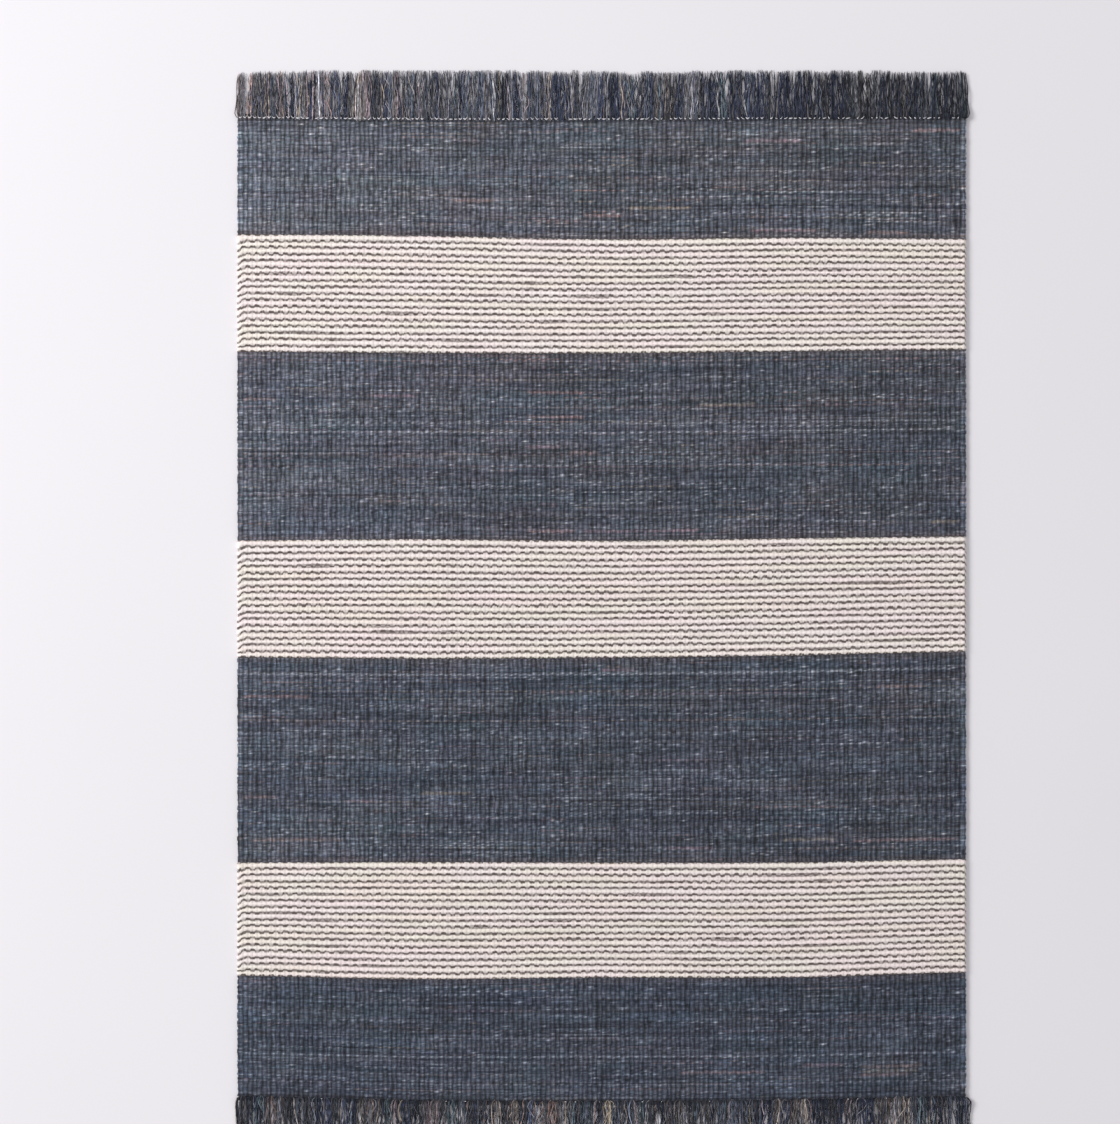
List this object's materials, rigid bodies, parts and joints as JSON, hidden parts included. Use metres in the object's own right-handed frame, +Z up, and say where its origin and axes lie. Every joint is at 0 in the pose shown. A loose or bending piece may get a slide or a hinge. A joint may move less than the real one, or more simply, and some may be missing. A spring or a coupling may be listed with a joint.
{
  "type": "flat-woven jute rug",
  "caption": "Rectangular flat-woven jute rug with slate and cream cross bands and a sewn-on fringe along each end; lies flat on a floor.",
  "frame": {"origin": "middle of the underside of the whole rug, fringes included, on the floor", "axes": "+X across the rug's width, +Y along its length towards the far fringe, +Z up from the floor"},
  "size_m": [1.5434, 2.2634, 0.0095],
  "materials": {
    "slate_weave": "matt jute weft in mixed slate, charcoal and rust",
    "cream_weave": "matt bleached jute weft with thin dark picks",
    "fringe_yarn": "matt loose yarn in mixed slate, charcoal and rust",
    "seam_stitch": "matt off-white sewing thread"
  },
  "bodies": {
    "root": {"woven_cloth": "slate_weave", "fringe_near": "fringe_yarn", "fringe_far": "fringe_yarn"}
  },
  "joints": []
}
